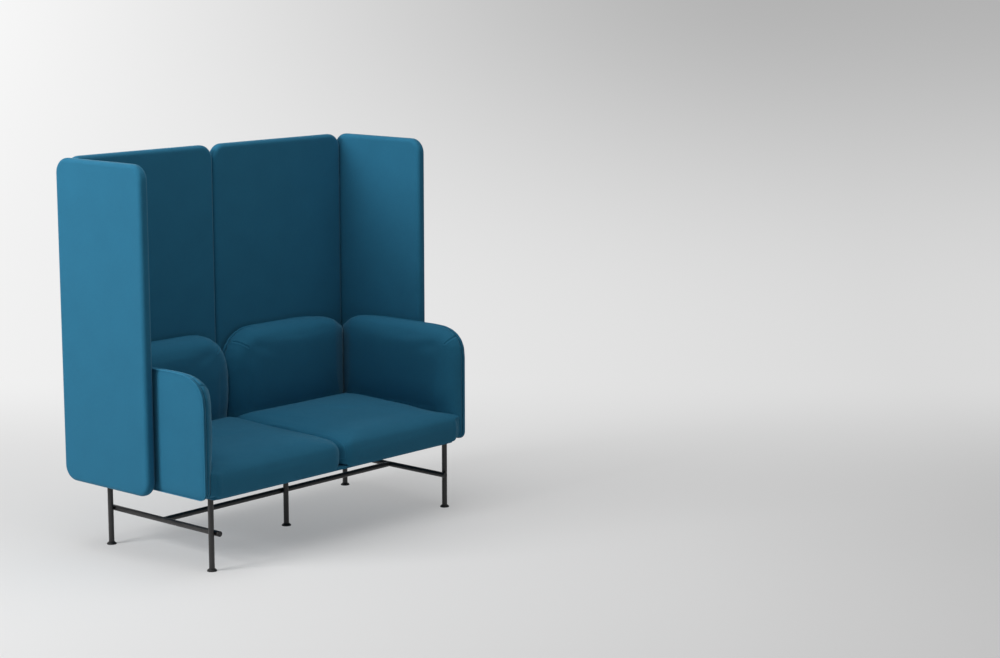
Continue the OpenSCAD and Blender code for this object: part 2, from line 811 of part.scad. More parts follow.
module corner_brackets() {
    color(steel_colour) at_corner_brackets() difference() {
        union() {
            translate([-corner_bracket_long, 0, 0])
                cube([corner_bracket_long, plate_t, corner_bracket_h]);
            translate([-plate_t, 0, 0]) cube([plate_t, corner_bracket_short, corner_bracket_h]);
        }
        long_holes() screw_hole();
        short_holes() screw_hole();
    }
}

// Puts its children where the angle brackets turn up behind the back boards, with +Y to the rear
module at_angle_brackets() {
    for (side = [left, right])
        for (x = [angle_bracket_inner_x, angle_bracket_outer_x])
            translate([side * x, back_out, leg_top]) children();
}

// Screw places on an angle bracket: on the leg under the base, and on the leg up the board
module under_holes() {
    for (i = [0, 1])
        translate([0, hole_edge + i * hole_pitch + plate_t - angle_bracket_under, 0]) children();
}
module up_holes() {
    for (i = [0, 1])
        translate([0, plate_t, angle_bracket_up - hole_edge - i * hole_pitch])
            rotate([90, 0, 0]) children();
}

module angle_brackets() {
    color(steel_colour) at_angle_brackets() difference() {
        union() {
            translate([-angle_bracket_w / 2, plate_t - angle_bracket_under, 0])
                cube([angle_bracket_w, angle_bracket_under, plate_t]);
            translate([-angle_bracket_w / 2, 0, 0])
                cube([angle_bracket_w, plate_t, angle_bracket_up]);
        }
        under_holes() screw_hole();
        up_holes() screw_hole();
    }
}

module bracket_screws() {
    color(zinc_colour) {
        at_corner_brackets() long_holes() flat_screw(bearer_screw_len);
        at_corner_brackets() short_holes() flat_screw(board_screw_len);
        at_angle_brackets() under_holes() flat_screw(base_screw_len);
        at_angle_brackets() up_holes() flat_screw(board_screw_len);
    }
}

// Cover and padding of the right side screen, hollow for its board
module side_screen() {
    color(fabric_colour) difference() {
        at_side_screen() rounded_screen(side_screen_d, screen_h, screen_t, screen_corner_r, screen_edge_r);
        at_side_screen() screen_board(side_screen_d, 0);
        arm_bolt_rods(side_in - cut, screen_skin_t + 2 * cut, bolt_r + screw_gap);
        side_dowels(dowel_end_gap);
    }
}

module side_screen_board() {
    color(wood_colour) difference() {
        at_side_screen() screen_board(side_screen_d, board_gap);
        arm_bolt_rods(side_in, screen_skin_t + bolt_bite + cut, bolt_r + press_gap);
        side_dowels(dowel_end_gap);
    }
}

module rear_screen() {
    color(fabric_colour) difference() {
        at_rear_screen() rounded_screen(rear_screen_w - panel_gap, screen_h, screen_t,
            screen_corner_r, screen_edge_r);
        at_rear_screen() screen_board(rear_screen_w - panel_gap, 0);
        back_bolt_rods(rear_in - cut, screen_skin_t + 2 * cut, bolt_r + screw_gap);
        side_dowels(dowel_end_gap);
        middle_dowels(dowel_end_gap);
    }
}

module rear_screen_board() {
    color(wood_colour) difference() {
        at_rear_screen() screen_board(rear_screen_w - panel_gap, board_gap);
        back_bolt_rods(rear_in, screen_skin_t + bolt_bite + cut, bolt_r + press_gap);
        side_dowels(dowel_end_gap);
        middle_dowels(dowel_end_gap);
    }
}

// Washers that keep the screens off the boards
module screen_spacers() {
    color(plastic_colour) for (flip = [false, true])
        flip_if(flip) difference() {
            union() {
                arm_bolt_rods(arm_out, screen_gap, spacer_r);
                back_bolt_rods(back_out, screen_gap, spacer_r);
            }
            arm_bolt_rods(arm_out - cut, screen_gap + 2 * cut, bolt_r + screw_gap);
            back_bolt_rods(back_out - cut, screen_gap + 2 * cut, bolt_r + screw_gap);
        }
}

// Socket bolts from the boards' inner faces into the screens' boards
module screen_bolts() {
    color(zinc_colour) for (flip = [false, true])
        flip_if(flip) difference() {
            union() {
                arm_bolt_rods(arm_in, bolt_head_h, bolt_head_r);
                arm_bolt_rods(arm_in, bolt_head_h + bolt_len, bolt_r);
                back_bolt_rods(back_in, bolt_head_h, bolt_head_r);
                back_bolt_rods(back_in, bolt_head_h + bolt_len, bolt_r);
            }
            arm_bolt_rods(arm_in - cut, bolt_socket_h + cut, bolt_socket_r);
            back_bolt_rods(back_in - cut, bolt_socket_h + cut, bolt_socket_r);
        }
}

module screen_dowels() {
    color(wood_colour) {
        for (flip = [false, true])
            flip_if(flip) side_dowels(0);
        middle_dowels(0);
    }
}

corner_leg(left, leg_front_y);  // leg_front_left
corner_leg(right, leg_front_y);  // leg_front_right
corner_leg(left, leg_rear_y);  // leg_rear_left
corner_leg(right, leg_rear_y);  // leg_rear_right
translate([0, leg_middle_y, 0]) leg_tube(90);  // leg_middle
leg_plates();
leg_plate_screws();
leg_inserts();
flip_if(true) side_rail();  // side_rail_left
side_rail();  // side_rail_right
long_rail();
long_rail_plugs();
rail_end_plugs();
frame_pins();
foot_glide(-leg_x, leg_front_y);  // foot_glide_front_left
foot_glide(leg_x, leg_front_y);  // foot_glide_front_right
foot_glide(-leg_x, leg_rear_y);  // foot_glide_rear_left
foot_glide(leg_x, leg_rear_y);  // foot_glide_rear_right
foot_glide(0, leg_middle_y);  // foot_glide_middle
seat_base_panel();
seat_bearer(frame_front);  // seat_bearer_front
seat_bearer(frame_rear - bearer_w);  // seat_bearer_rear
seat_cross_rails();
seat_webbing();
flip_if(true) seat_cushion();  // seat_cushion_left
seat_cushion();  // seat_cushion_right
arm_board();  // arm_board_left
flip_if(true) arm_board();  // arm_board_right
arm_pad();  // arm_pad_left
flip_if(true) arm_pad();  // arm_pad_right
corner_brackets();
flip_if(true) back_board();  // back_board_left
back_board();  // back_board_right
flip_if(true) back_pad();  // back_pad_left
back_pad();  // back_pad_right
angle_brackets();
bracket_screws();
flip_if(true) side_screen();  // side_screen_left
side_screen();  // side_screen_right
flip_if(true) rear_screen();  // rear_screen_left
rear_screen();  // rear_screen_right
flip_if(true) side_screen_board();  // side_screen_board_left
side_screen_board();  // side_screen_board_right
flip_if(true) rear_screen_board();  // rear_screen_board_left
rear_screen_board();  // rear_screen_board_right
screen_spacers();
screen_bolts();
screen_dowels();
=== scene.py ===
import math

import bmesh
import bpy
import numpy as np
from mathutils import Matrix, Vector
from mathutils.bvhtree import BVHTree
from mathutils.geometry import delaunay_2d_cdt
from mathutils.kdtree import KDTree


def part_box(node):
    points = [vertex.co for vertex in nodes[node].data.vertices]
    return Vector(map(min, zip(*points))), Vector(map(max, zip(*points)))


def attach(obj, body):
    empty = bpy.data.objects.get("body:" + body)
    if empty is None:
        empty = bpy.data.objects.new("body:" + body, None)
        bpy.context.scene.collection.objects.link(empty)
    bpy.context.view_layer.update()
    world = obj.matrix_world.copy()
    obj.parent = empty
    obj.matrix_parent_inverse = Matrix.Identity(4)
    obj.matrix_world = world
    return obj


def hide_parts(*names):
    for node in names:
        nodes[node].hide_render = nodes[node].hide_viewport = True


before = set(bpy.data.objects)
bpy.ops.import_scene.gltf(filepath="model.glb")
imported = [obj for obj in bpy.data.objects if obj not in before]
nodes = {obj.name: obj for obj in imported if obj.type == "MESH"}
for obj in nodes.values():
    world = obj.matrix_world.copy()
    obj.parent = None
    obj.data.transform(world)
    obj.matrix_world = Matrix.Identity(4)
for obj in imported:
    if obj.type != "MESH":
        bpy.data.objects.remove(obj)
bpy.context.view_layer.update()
scene = bpy.context.scene

# Sizes are in metres. The sofa faces -y, z is up, and x runs from its left to its right.

# Places of the solids
ARM_IN = 0.649  # |x| of the arm boards' inner faces
BACK_IN = 0.300  # y of the back boards' front faces
MITRE = ARM_IN - BACK_IN  # |x| - y where an arm pad and a back pad meet
SEAT_LOW = 0.270  # z of the base panel's top, under the cushions
SEAT_TOP = 0.390  # z where the pads go behind the cushions

# Lines and meshes
LINE_STEP = 0.004  # between points along outlines, seams and darts
SCREEN_STEP = 0.005  # the same round a screen
VOXEL = 0.007  # mesh size of a soft cover before it is refined

# Covers over boards
SCREEN_CORNER = 0.055  # radius of a screen's corners
SCREEN_EDGE = 0.016  # radius round a screen's edge
SCREEN_RINGS = (0.022, 0.010)  # rings on its faces, further in than the rounding
PANEL_RISE = 0.0012  # how far an arm's or a back's outer panel swells
PANEL_FADE = 0.030  # distance from the edge over which it does
PANEL_GRID = 0.030  # between points on the faces of panels, screens and base
SCREEN_GRID = 0.040
BASE_GRID = 0.050
BASE_BACK = 0.005  # how far the base's cover starts behind the panel's front
BASE_FRONT = (0.300, 0.340)  # -y over which it is moved back

# Sewing. A place round a panel is its distance in from the outline, and its depth from the
# board's inner face.
WELT_ARM = 0.0018  # radius of the lip round an arm's panel
WELT_BACK = 0.0014  # round a back half's panel
WELT_SEAT = 0.0013  # over a cushion
ARM_WELT_AT = (0.0010, 0.0100)
BACK_WELT_AT = (0.0004, 0.0072)
STITCHES_AT = (0.0085, 0.0100)
STITCHES_PROUD = 0.0001
STITCH_PITCH = 0.0060
STITCH_LENGTH = 0.0042
STITCH_THREAD = 0.0004  # radius

# How far soft covers move while they swell
PAD_REACH = 0.006
SEAT_REACH = 0.008
SLACK = 0.003  # how far inside its place a cover starts
LESS_SLACK = 0.6  # the share of it that is left out where the cover is held
MITRE_GAP = 0.0003  # from a pad to the plane of the mitre
MIDDLE_GAP = 0.0006  # from a pad or cushion to the sofa's middle
FRONT_SWELL = 0.002  # how far an arm's pad may pass the solid's front

# Where covers are held: fast up to the first distance, free from the second
HOLD_BOARD = (0.004, 0.020)
HOLD_MITRE = (0.002, 0.020)
HOLD_MIDDLE = (0.0008, 0.006)
HOLD_SEAT_BASE = (0.001, 0.012)
HOLD_SEAT_MIDDLE = (0.0008, 0.004)
HOLD_SEAT_REAR = (0.012, 0.002)  # from the rear face, where it begins and where it is fast
HOLD_SEAT_OUTER = (0.585, 0.600)  # |x| where it begins and where it is fast
HOLD_DART = 0.010  # to each side
HOLD_LEAST = 0.02  # weaker holds are left out

# Darts, by their ends on the right side
ARM_DART = ((0.640, -0.324, 0.669), (0.596, -0.300, 0.637))
BACK_DART = ((0.018, 0.271, 0.672), (0.077, 0.232, 0.632))
DART_WIDTH = 0.007  # to each side
DART_DEPTH = 0.004

# How pads are drawn in and filled out after they swell
CREASE_WIDTH = 0.045  # from the mitre
CREASE_DEPTH = 0.020
TUCK_HEIGHT = 0.100  # above SEAT_TOP
TUCK_DEPTH = 0.007
FOAM_FADE = 0.060  # depth of foam over which both grow to their full size
TOP_LIFT = 0.011  # of a pad's top beside the mitre
TOP_RISE = 0.050  # from the mitre, where the lift is full
TOP_FALL = (0.045, 0.220)  # from the mitre, where it fades out again
TOP_HEIGHT = (0.56, 0.66)  # z over which it grows

# How cushions are shaped after they swell
SEAM_X = 0.014  # |x| of the seam over a cushion
SEAM_INSIDE = (-0.05, 0.335)  # y and z of a point inside the cushion
SEAM_WIDTH = 0.007  # to each side, where it is held and then pressed in
SEAM_PRESS = 0.0015
SEAM_SINK = 0.0004  # how far the seam's lip lies in the cloth
SEAT_SIDE = 0.555  # |x| from which a cushion fills out sideways
SEAT_REAR = 0.190  # y from which it fills out rearwards
MEET_REACH = 0.045  # the widest space that it fills
MEET_GAP = 0.0008  # what it leaves
MEET_FADE = 0.025
FRONT_HANG = 0.008  # how far its front edge hangs over the base
FRONT_EDGE = (0.339, 0.346)  # -y over which that begins
HANG_FADE = (0.004, 0.034)  # height above SEAT_LOW over which it ends

# How strongly movements are evened out, as rounds of easing
CALM_SWELL = 14
CALM_MEET = 6

SWELL_FRAMES = 20
CLOTH_SETTINGS = {
    "quality": 4,
    "mass": 0.25,
    "tension_stiffness": 12,
    "compression_stiffness": 8,
    "shear_stiffness": 4,
    "bending_stiffness": 0.6,
    "use_pressure": True,
    "uniform_pressure_force": 4,
    "vertex_group_mass": "held",
    "pin_stiffness": 1,
}

# Colours and weave
TEAL = (0.0155, 0.150, 0.262)
# Lighter teal for sewing: the stitches' thread is itself lighter, and on the welt lips it is a
# painted highlight
SEAM_TEAL_AND_HIGHLIGHT = tuple(c * 1.25 for c in TEAL)
THREAD = 0.0011  # pitch of the woven threads
THREAD_DRIFT = 0.0004  # how far they wander from straight
RIB = 0.0022  # pitch of the webbing's ribs

# The photograph's camera, and what the lamps point at
EYE = Vector((-5.5441695, -5.932242, 2.1230135))
AHEAD = Vector((0.74299194, 0.64761079, -0.16900663))
FOCAL_MM = 80.019
FILM_MM = 36
UP = Vector((0, 0, 1))
MIDDLE = Vector((0, 0, 0.6))


# Materials


class Nodes:
    """A material's node tree, with short ways to add and join nodes."""

    def __init__(self, name):
        self.material = bpy.data.materials.new(name)
        self.material.use_nodes = True
        self.tree = self.material.node_tree
        self.shader = self.tree.nodes["Principled BSDF"]
        self.place = self.add("ShaderNodeTexCoord").outputs["Object"]

    def add(self, kind, **settings):
        node = self.tree.nodes.new(kind)
        for key, value in settings.items():
            setattr(node, key, value)
        return node

    def join(self, source, target):
        self.tree.links.new(source, target)

    def split(self, vector):
        """The X, Y and Z of a vector."""
        node = self.add("ShaderNodeSeparateXYZ")
        self.join(vector, node.inputs[0])
        return node.outputs

    def maths(self, operation, *values):
        """A sum on numbers or other nodes' outputs."""
        node = self.add("ShaderNodeMath", operation=operation)
        for socket, value in zip(node.inputs, values):
            if isinstance(value, (int, float)):
                socket.default_value = value
            else:
                self.join(value, socket)
        return node.outputs[0]

    def total(self, *parts):
        """The sum of values, each times its weight."""
        terms = [
            value if weight == 1 else self.maths("MULTIPLY", value, weight)
            for value, weight in parts
        ]
        result = terms[0]
        for term in terms[1:]:
            result = self.maths("ADD", result, term)
        return result

    def wave(self, value, pitch):
        """A sine wave that is zero once in each pitch."""
        return self.maths("SINE", self.maths("MULTIPLY", value, math.pi / pitch))

    def ranged(self, value, source, target, smooth=False):
        """A value's source range spread over the target range, and no further."""
        node = self.add("ShaderNodeMapRange")
        if smooth:
            node.interpolation_type = "SMOOTHSTEP"
        for socket, number in zip(node.inputs[1:5], (*source, *target)):
            socket.default_value = number
        self.join(value, node.inputs[0])
        return node.outputs[0]

    def noise(self, place, scale=1, detail=2, stretch=None):
        if stretch:
            node = self.add("ShaderNodeMapping")
            node.inputs["Scale"].default_value = stretch
            self.join(place, node.inputs["Vector"])
            place = node.outputs[0]
        node = self.add("ShaderNodeTexNoise")
        node.inputs["Scale"].default_value = scale
        node.inputs["Detail"].default_value = detail
        self.join(place, node.inputs["Vector"])
        return node.outputs["Fac"]

    def paint(self, share, dark, light):
        """Base colour between two colours."""
        node = self.add("ShaderNodeMix", data_type="RGBA")
        self.join(share, node.inputs["Factor"])
        # The mix node has its colour sockets here, after those for numbers and vectors
        node.inputs[6].default_value = (*dark, 1)
        node.inputs[7].default_value = (*light, 1)
        self.join(node.outputs[2], self.shader.inputs["Base Color"])

    def roughen(self, noise, low, high):
        """Roughness between two values. Noise lies mostly between 0.3 and 0.7."""
        self.join(self.ranged(noise, (0.3, 0.7), (low, high)), self.shader.inputs["Roughness"])

    def bump(self, height, strength, distance):
        node = self.add("ShaderNodeBump")
        node.inputs["Strength"].default_value = strength
        node.inputs["Distance"].default_value = distance
        self.join(height, node.inputs["Height"])
        self.join(node.outputs[0], self.shader.inputs["Normal"])

    def set(self, **values):
        """Constants on the shader's sockets."""
        for key, value in values.items():
            socket = self.shader.inputs[key.replace("_", " ")]
            socket.default_value = (*value, 1) if isinstance(value, tuple) else value


def woven_cloth(name, colour, sheen):
    """Plain woven upholstery: threads over and under, slubs, and a soft heathered colour.
    The colour also carries painted shade between the threads and painted light on their crowns.
    """
    n = Nodes(name)
    flat = n.add("ShaderNodeUVMap", uv_map="weave").outputs[0]
    threads = n.split(flat)
    drift = n.noise(n.place, 60, detail=1)
    shift = n.ranged(drift, (0, 1), (-THREAD_DRIFT, THREAD_DRIFT))
    across, along = (n.wave(n.maths("ADD", threads[axis], shift), THREAD) for axis in "XY")
    over = n.ranged(n.maths("MULTIPLY", across, along), (-0.12, 0.12), (0, 1), smooth=True)
    warp = n.maths("MULTIPLY", n.maths("ABSOLUTE", across), over)
    weft = n.maths("MULTIPLY", n.maths("ABSOLUTE", along), n.maths("SUBTRACT", 1, over))
    lift = n.maths("ADD", warp, weft)
    # Thick and thin places along the threads, both ways
    slub = n.maths("ADD", *(n.noise(flat, stretch=s) for s in ((900, 55, 1), (55, 900, 1))))
    cloud = n.noise(n.place, 9, detail=4)
    fuzz = n.noise(n.place, 420)
    # Lift paints shade into the gaps between threads and light onto their crowns; slub and cloud
    # are the cloth's own uneven colour
    tone = n.total((lift, 0.55), (slub, 0.34), (cloud, 0.24))
    dark = tuple(c * 0.70 for c in colour)
    light = tuple(min(c * 1.20 + 0.004, 1) for c in colour)
    n.paint(n.ranged(tone, (0.35, 1.15), (0, 1)), dark, light)
    height = n.total((lift, 1), (slub, 0.7), (fuzz, 0.5))
    n.bump(height, strength=0.35, distance=0.0004)
    n.set(Roughness=0.9, Specular_IOR_Level=0.25)
    n.set(Sheen_Weight=sheen, Sheen_Roughness=0.35, Sheen_Tint=(0.45, 0.72, 0.85))
    return n.material


def satin_black():
    """Powder-coated tube: satin, with a fine even grain and faint handling marks."""
    n = Nodes("satin_black_tube")
    marks = n.noise(n.place, 26, detail=5)
    n.paint(marks, (0.020, 0.019, 0.019), (0.030, 0.028, 0.028))
    n.roughen(marks, 0.30, 0.42)
    n.bump(n.noise(n.place, 1400), strength=0.12, distance=0.0001)
    return n.material


def moulded_plastic():
    """Black moulded plastic with a spark-eroded grain."""
    n = Nodes("moulded_black_plastic")
    grain = n.noise(n.place, 900, detail=3)
    n.paint(grain, (0.008, 0.008, 0.009), (0.014, 0.014, 0.015))
    n.roughen(grain, 0.48, 0.62)
    n.bump(grain, strength=0.20, distance=0.0001)
    return n.material


def zinc_plate():
    """Zinc-plated steel with a patchy, slightly blue passivated film."""
    n = Nodes("zinc_plated_steel")
    patch = n.noise(n.place, 70, detail=4)
    n.paint(patch, (0.52, 0.54, 0.57), (0.70, 0.70, 0.68))
    n.roughen(patch, 0.28, 0.44)
    n.bump(n.noise(n.place, stretch=(900, 900, 60)), strength=0.08, distance=0.0001)
    n.set(Metallic=1.0)
    return n.material


def sawn_wood():
    """Pale softwood with long grain along the sofa's width."""
    n = Nodes("sawn_softwood")
    broad = n.noise(n.place, detail=4, stretch=(3, 60, 60))
    fine = n.noise(n.place, detail=3, stretch=(12, 700, 700))
    tone = n.total((broad, 0.7), (fine, 0.3))
    n.paint(n.ranged(tone, (0.35, 0.65), (0, 1)), (0.36, 0.22, 0.11), (0.66, 0.48, 0.29))
    n.roughen(fine, 0.62, 0.78)
    n.bump(fine, strength=0.25, distance=0.0003)
    return n.material


def elastic_webbing():
    """Elastic seat webbing: close ribs with rubber threads between them."""
    n = Nodes("elastic_webbing")
    parts = n.split(n.place)
    rib = n.maths("MULTIPLY", *(n.maths("ABSOLUTE", n.wave(parts[a], RIB)) for a in "XY"))
    n.paint(rib, (0.012, 0.011, 0.010), (0.055, 0.050, 0.045))
    n.bump(rib, strength=0.5, distance=0.0004)
    n.set(Roughness=0.85)
    return n.material


cloth = woven_cloth("teal_upholstery", TEAL, sheen=0.35)
# The sewing cloth is lighter: real for the thread, a painted highlight on the welt lips
sewing = woven_cloth("teal_seam_and_highlight", SEAM_TEAL_AND_HIGHLIGHT, sheen=0.5)

FINISHES = {
    satin_black(): [
        "leg_front_left", "leg_front_right", "leg_rear_left", "leg_rear_right", "leg_middle",
        "leg_plates", "side_rail_left", "side_rail_right", "long_rail", "frame_pins",
        "screen_spacers",
    ],
    moulded_plastic(): [
        "foot_glide_front_left", "foot_glide_front_right", "foot_glide_rear_left",
        "foot_glide_rear_right", "foot_glide_middle", "rail_end_plugs", "long_rail_plugs",
        "leg_inserts",
    ],
    zinc_plate(): [
        "leg_plate_screws", "corner_brackets", "angle_brackets", "bracket_screws", "screen_bolts",
    ],
    sawn_wood(): [
        "seat_bearer_front", "seat_bearer_rear", "seat_cross_rails", "side_screen_board_left",
        "side_screen_board_right", "rear_screen_board_left", "rear_screen_board_right",
        "screen_dowels",
    ],
    elastic_webbing(): ["seat_webbing"],
}
for finish, names in FINISHES.items():
    for name in names:
        for slot in nodes[name].material_slots:
            slot.material = finish


# Meshes


def shade_smooth(mesh):
    for polygon in mesh.polygons:
        polygon.use_smooth = True


def new_piece(name, mesh):
    """A piece of upholstery."""
    piece = bpy.data.objects.new(name, mesh)
    scene.collection.objects.link(piece)
    mesh.materials.clear()
    mesh.materials.append(cloth)
    shade_smooth(mesh)
    return piece


def merged(node):
    """A node's surface as one skin, its loose triangles joined."""
    skin = bmesh.new()
    skin.from_mesh(nodes[node].data)
    bmesh.ops.remove_doubles(skin, verts=skin.verts, dist=1e-5)
    return skin


def vectors(mesh, key):
    found = np.empty(len(mesh.vertices) * 3, np.float32)
    mesh.vertices.foreach_get(key, found)
    return found.reshape(-1, 3).astype(np.float64)


def places(mesh):
    return vectors(mesh, "co")


def facings(mesh):
    return vectors(mesh, "normal")


def put_places(mesh, where):
    mesh.vertices.foreach_set("co", where.astype(np.float32).ravel())
    mesh.update()


def baked(piece):
    """The piece with its modifiers made part of its mesh."""
    graph = bpy.context.evaluated_depsgraph_get()
    done = bpy.data.meshes.new_from_object(piece.evaluated_get(graph), depsgraph=graph)
    piece.modifiers.clear()
    piece.data = done
    return piece


def lay_weave(piece, top_along_x=True):
    """Lays the cloth's threads on each face, square to the sofa, in metres."""
    mesh = piece.data
    while mesh.uv_layers:
        mesh.uv_layers.remove(mesh.uv_layers[0])
    layer = mesh.uv_layers.new(name="weave")
    loops = np.empty(len(mesh.loops), np.int32)
    mesh.loops.foreach_get("vertex_index", loops)
    normals = np.empty(len(mesh.polygons) * 3, np.float32)
    mesh.polygons.foreach_get("normal", normals)
    sizes = np.empty(len(mesh.polygons), np.int32)
    mesh.polygons.foreach_get("loop_total", sizes)
    facing = np.repeat(np.abs(normals.reshape(-1, 3)).argmax(1), sizes)
    # The two axes that lie in a face, by the axis that it faces
    picks = np.array([(1, 2), (0, 2), (0, 1) if top_along_x else (1, 0)])
    at = places(mesh)[loops]
    rows = np.arange(len(loops))
    laid = np.stack([at[rows, picks[facing, 0]], at[rows, picks[facing, 1]]], 1)
    layer.data.foreach_set("uv", laid.astype(np.float32).ravel())


class Skin:
    """Quick questions about a piece's surface."""

    def __init__(self, mesh):
        where = [v.co.copy() for v in mesh.vertices]
        self.tree = BVHTree.FromPolygons(where, [tuple(p.vertices) for p in mesh.polygons])

    def onto(self, points, proud=0.0):
        """The points moved onto the surface, or a little above it."""
        found = []
        for p in points:
            spot, normal, _, _ = self.tree.find_nearest(Vector(p))
            found.append(spot + normal * proud)
        return found

    def round(self, origin, directions):
        """Where rays from a point inside leave the surface."""
        hits = (self.tree.ray_cast(Vector(origin), Vector(d).normalized()) for d in directions)
        return [spot for spot, _, _, _ in hits if spot]


# Flat lines


def length_round(points):
    return float(np.linalg.norm(np.roll(points, -1, 0) - points, axis=1).sum())


def area_of(points):
    """The area in a closed line, below zero if it runs clockwise."""
    x, y = points[:, 0], points[:, 1]
    return float((x * np.roll(y, -1) - y * np.roll(x, -1)).sum() / 2)


def face_outline(node, axis, side):
    """The rim of a node's flat face, as points in that face's plane."""
    skin = merged(node)
    low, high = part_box(node)
    plane = (high if side > 0 else low)[axis]
    inside = {
        f for f in skin.faces
        if abs(f.normal[axis]) > 0.999 and abs(f.calc_center_median()[axis] - plane) < 1e-4
    }
    rim = [e for e in skin.edges if sum(f in inside for f in e.link_faces) == 1]
    beside = {}
    for e in rim:
        for v in e.verts:
            beside.setdefault(v, []).append(e)
    loops, seen = [], set()
    for e in rim:
        if e in seen:
            continue
        seen.add(e)
        start, at = e.verts
        loop = [start]
        while at is not start:
            loop.append(at)
            onward = [x for x in beside[at] if x not in seen]
            if not onward:
                break
            seen.add(onward[0])
            at = onward[0].other_vert(at)
        loops.append(loop)
    pick = [i for i in range(3) if i != axis]
    found = [np.array([[v.co[i] for i in pick] for v in loop]) for loop in loops]
    skin.free()
    return max(found, key=length_round)


def evenly(points, step, closed=True):
    """Points at an even step along a line."""
    ends = np.vstack([points, points[:1]]) if closed else points
    lengths = np.linalg.norm(np.diff(ends, axis=0), axis=1)
    run = np.concatenate([[0], lengths.cumsum()])
    count = max(int(round(run[-1] / step)), 3)
    at = np.linspace(0, run[-1], count if closed else count + 1, endpoint=not closed)
    return np.stack([np.interp(at, run, ends[:, i]) for i in range(ends.shape[1])], 1)


def board_outline(node, axis, side, rounds):
    """The rim of a board's face with its corners eased. It runs anticlockwise."""
    points = evenly(face_outline(node, axis, side), LINE_STEP)
    for _ in range(rounds):
        points = (np.roll(points, 1, 0) + 2 * points + np.roll(points, -1, 0)) / 4
    return points if area_of(points) > 0 else points[::-1]


def rounded_rectangle(x0, y0, x1, y1, r, step):
    """A rectangle with round corners. It runs anticlockwise."""
    corners = [
        (x1 - r, y0 + r, -90),
        (x1 - r, y1 - r, 0),
        (x0 + r, y1 - r, 90),
        (x0 + r, y0 + r, 180),
    ]
    points = [
        (x + r * math.cos(math.radians(a + t)), y + r * math.sin(math.radians(a + t)))
        for x, y, a in corners for t in range(0, 91, 6)
    ]
    return evenly(np.array(points), step)


def inset_line(points, distance):
    """A closed line drawn in by a distance. It runs anticlockwise."""
    along = np.roll(points, -1, 0) - np.roll(points, 1, 0)
    along /= np.linalg.norm(along, axis=1)[:, None]
    return points + distance * np.stack([-along[:, 1], along[:, 0]], 1)


# Covers over boards


def edges_of(tri):
    return [(min(a, b), max(a, b)) for a, b in zip(tri, tri[1:] + tri[:1])]


def filled(line, spots):
    """Triangles that fill a closed line, using spots inside it. The line's points come first."""
    count = len(line)
    flat = [Vector(p) for p in line] + [Vector(p) for p in spots]
    rim = [(j, (j + 1) % count) for j in range(count)]
    _, _, tris, origin, _, _ = delaunay_2d_cdt(flat, rim, [], 1, 1e-6, True)
    first = {v: froms[0] for v, froms in enumerate(origin) if froms}
    tris = [tuple(first[v] for v in tri) for tri in tris if all(v in first for v in tri)]
    # Slivers outside the rim are left out: only what joins the middle stays
    beside = {}
    for number, tri in enumerate(tris):
        for edge in edges_of(tri):
            beside.setdefault(edge, []).append(number)
    walls = {(min(a, b), max(a, b)) for a, b in rim}
    centre = line.mean(0)
    start = min(range(len(tris)), key=lambda n: sum(math.dist(flat[v], centre) for v in tris[n]))
    reached, queue = {start}, [start]
    while queue:
        for edge in edges_of(tris[queue.pop()]):
            if edge in walls:
                continue
            for other in beside[edge]:
                if other not in reached:
                    reached.add(other)
                    queue.append(other)
    return [tris[n] for n in sorted(reached)]


def face_spots(line, grid):
    """A grid of spots in a closed line's box, and how far from the line each one is."""
    low, high = line.min(0), line.max(0)
    columns, rows = (np.arange(low[i], high[i], grid) for i in range(2))
    spots = np.stack(np.meshgrid(columns, rows), -1).reshape(-1, 2)
    far = np.sqrt(((spots[:, None] - line[None, ::3]) ** 2).sum(2)).min(1)
    clear = far > grid / 2
    return spots[clear], far[clear]


def out_of(axis, plane, way):
    """Gives the function that puts a flat point, at a depth, into the sofa's frame. The plane
    lies across an axis, and depth runs along that axis one way or the other."""

    def spread(u, v, depth):
        point = [u, v]
        point.insert(axis, plane + way * depth)
        return tuple(point)

    return spread


def covered_board(node, outline, spread, rings, grid, rise=0.0):
    """A board in its cover. Rings are (drawn in, depth) pairs from one face round the edge to the
    other. The second face then swells by the rise. The outline runs anticlockwise, and spread
    puts its points into the sofa's frame."""
    count = len(outline)
    lines = [inset_line(outline, d) for d, _ in rings]
    points = [(x, y, z) for line, (_, z) in zip(lines, rings) for x, y in line]
    faces = []
    for i in range(0, (len(rings) - 1) * count, count):
        for j in range(count):
            k = (j + 1) % count
            faces.append((i + j, i + k, i + count + k, i + count + j))
    for ring, swell in ((0, 0.0), (len(rings) - 1, rise)):
        spots, far = face_spots(lines[ring], grid)
        index = {j: ring * count + j for j in range(count)}
        for tri in filled(lines[ring], spots):
            for v in tri:
                if v not in index:
                    share = min(far[v - count] / PANEL_FADE, 1)
                    index[v] = len(points)
                    depth = rings[ring][1] + swell * (1 - (1 - share) ** 2)
                    points.append((*spots[v - count], depth))
            turned = [index[v] for v in tri]
            faces.append(turned if ring else turned[::-1])
    name = node + "_cover"
    mesh = bpy.data.meshes.new(name)
    mesh.from_pydata([spread(*p) for p in points], [], faces)
    mesh.update()
    skin = bmesh.new()
    skin.from_mesh(mesh)
    bmesh.ops.remove_doubles(skin, verts=skin.verts, dist=1e-6)
    bmesh.ops.recalc_face_normals(skin, faces=skin.faces)
    skin.to_mesh(mesh)
    skin.free()
    piece = new_piece(name, mesh)
    lay_weave(piece)
    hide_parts(node)
    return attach(piece, "sofa")


# Sewing


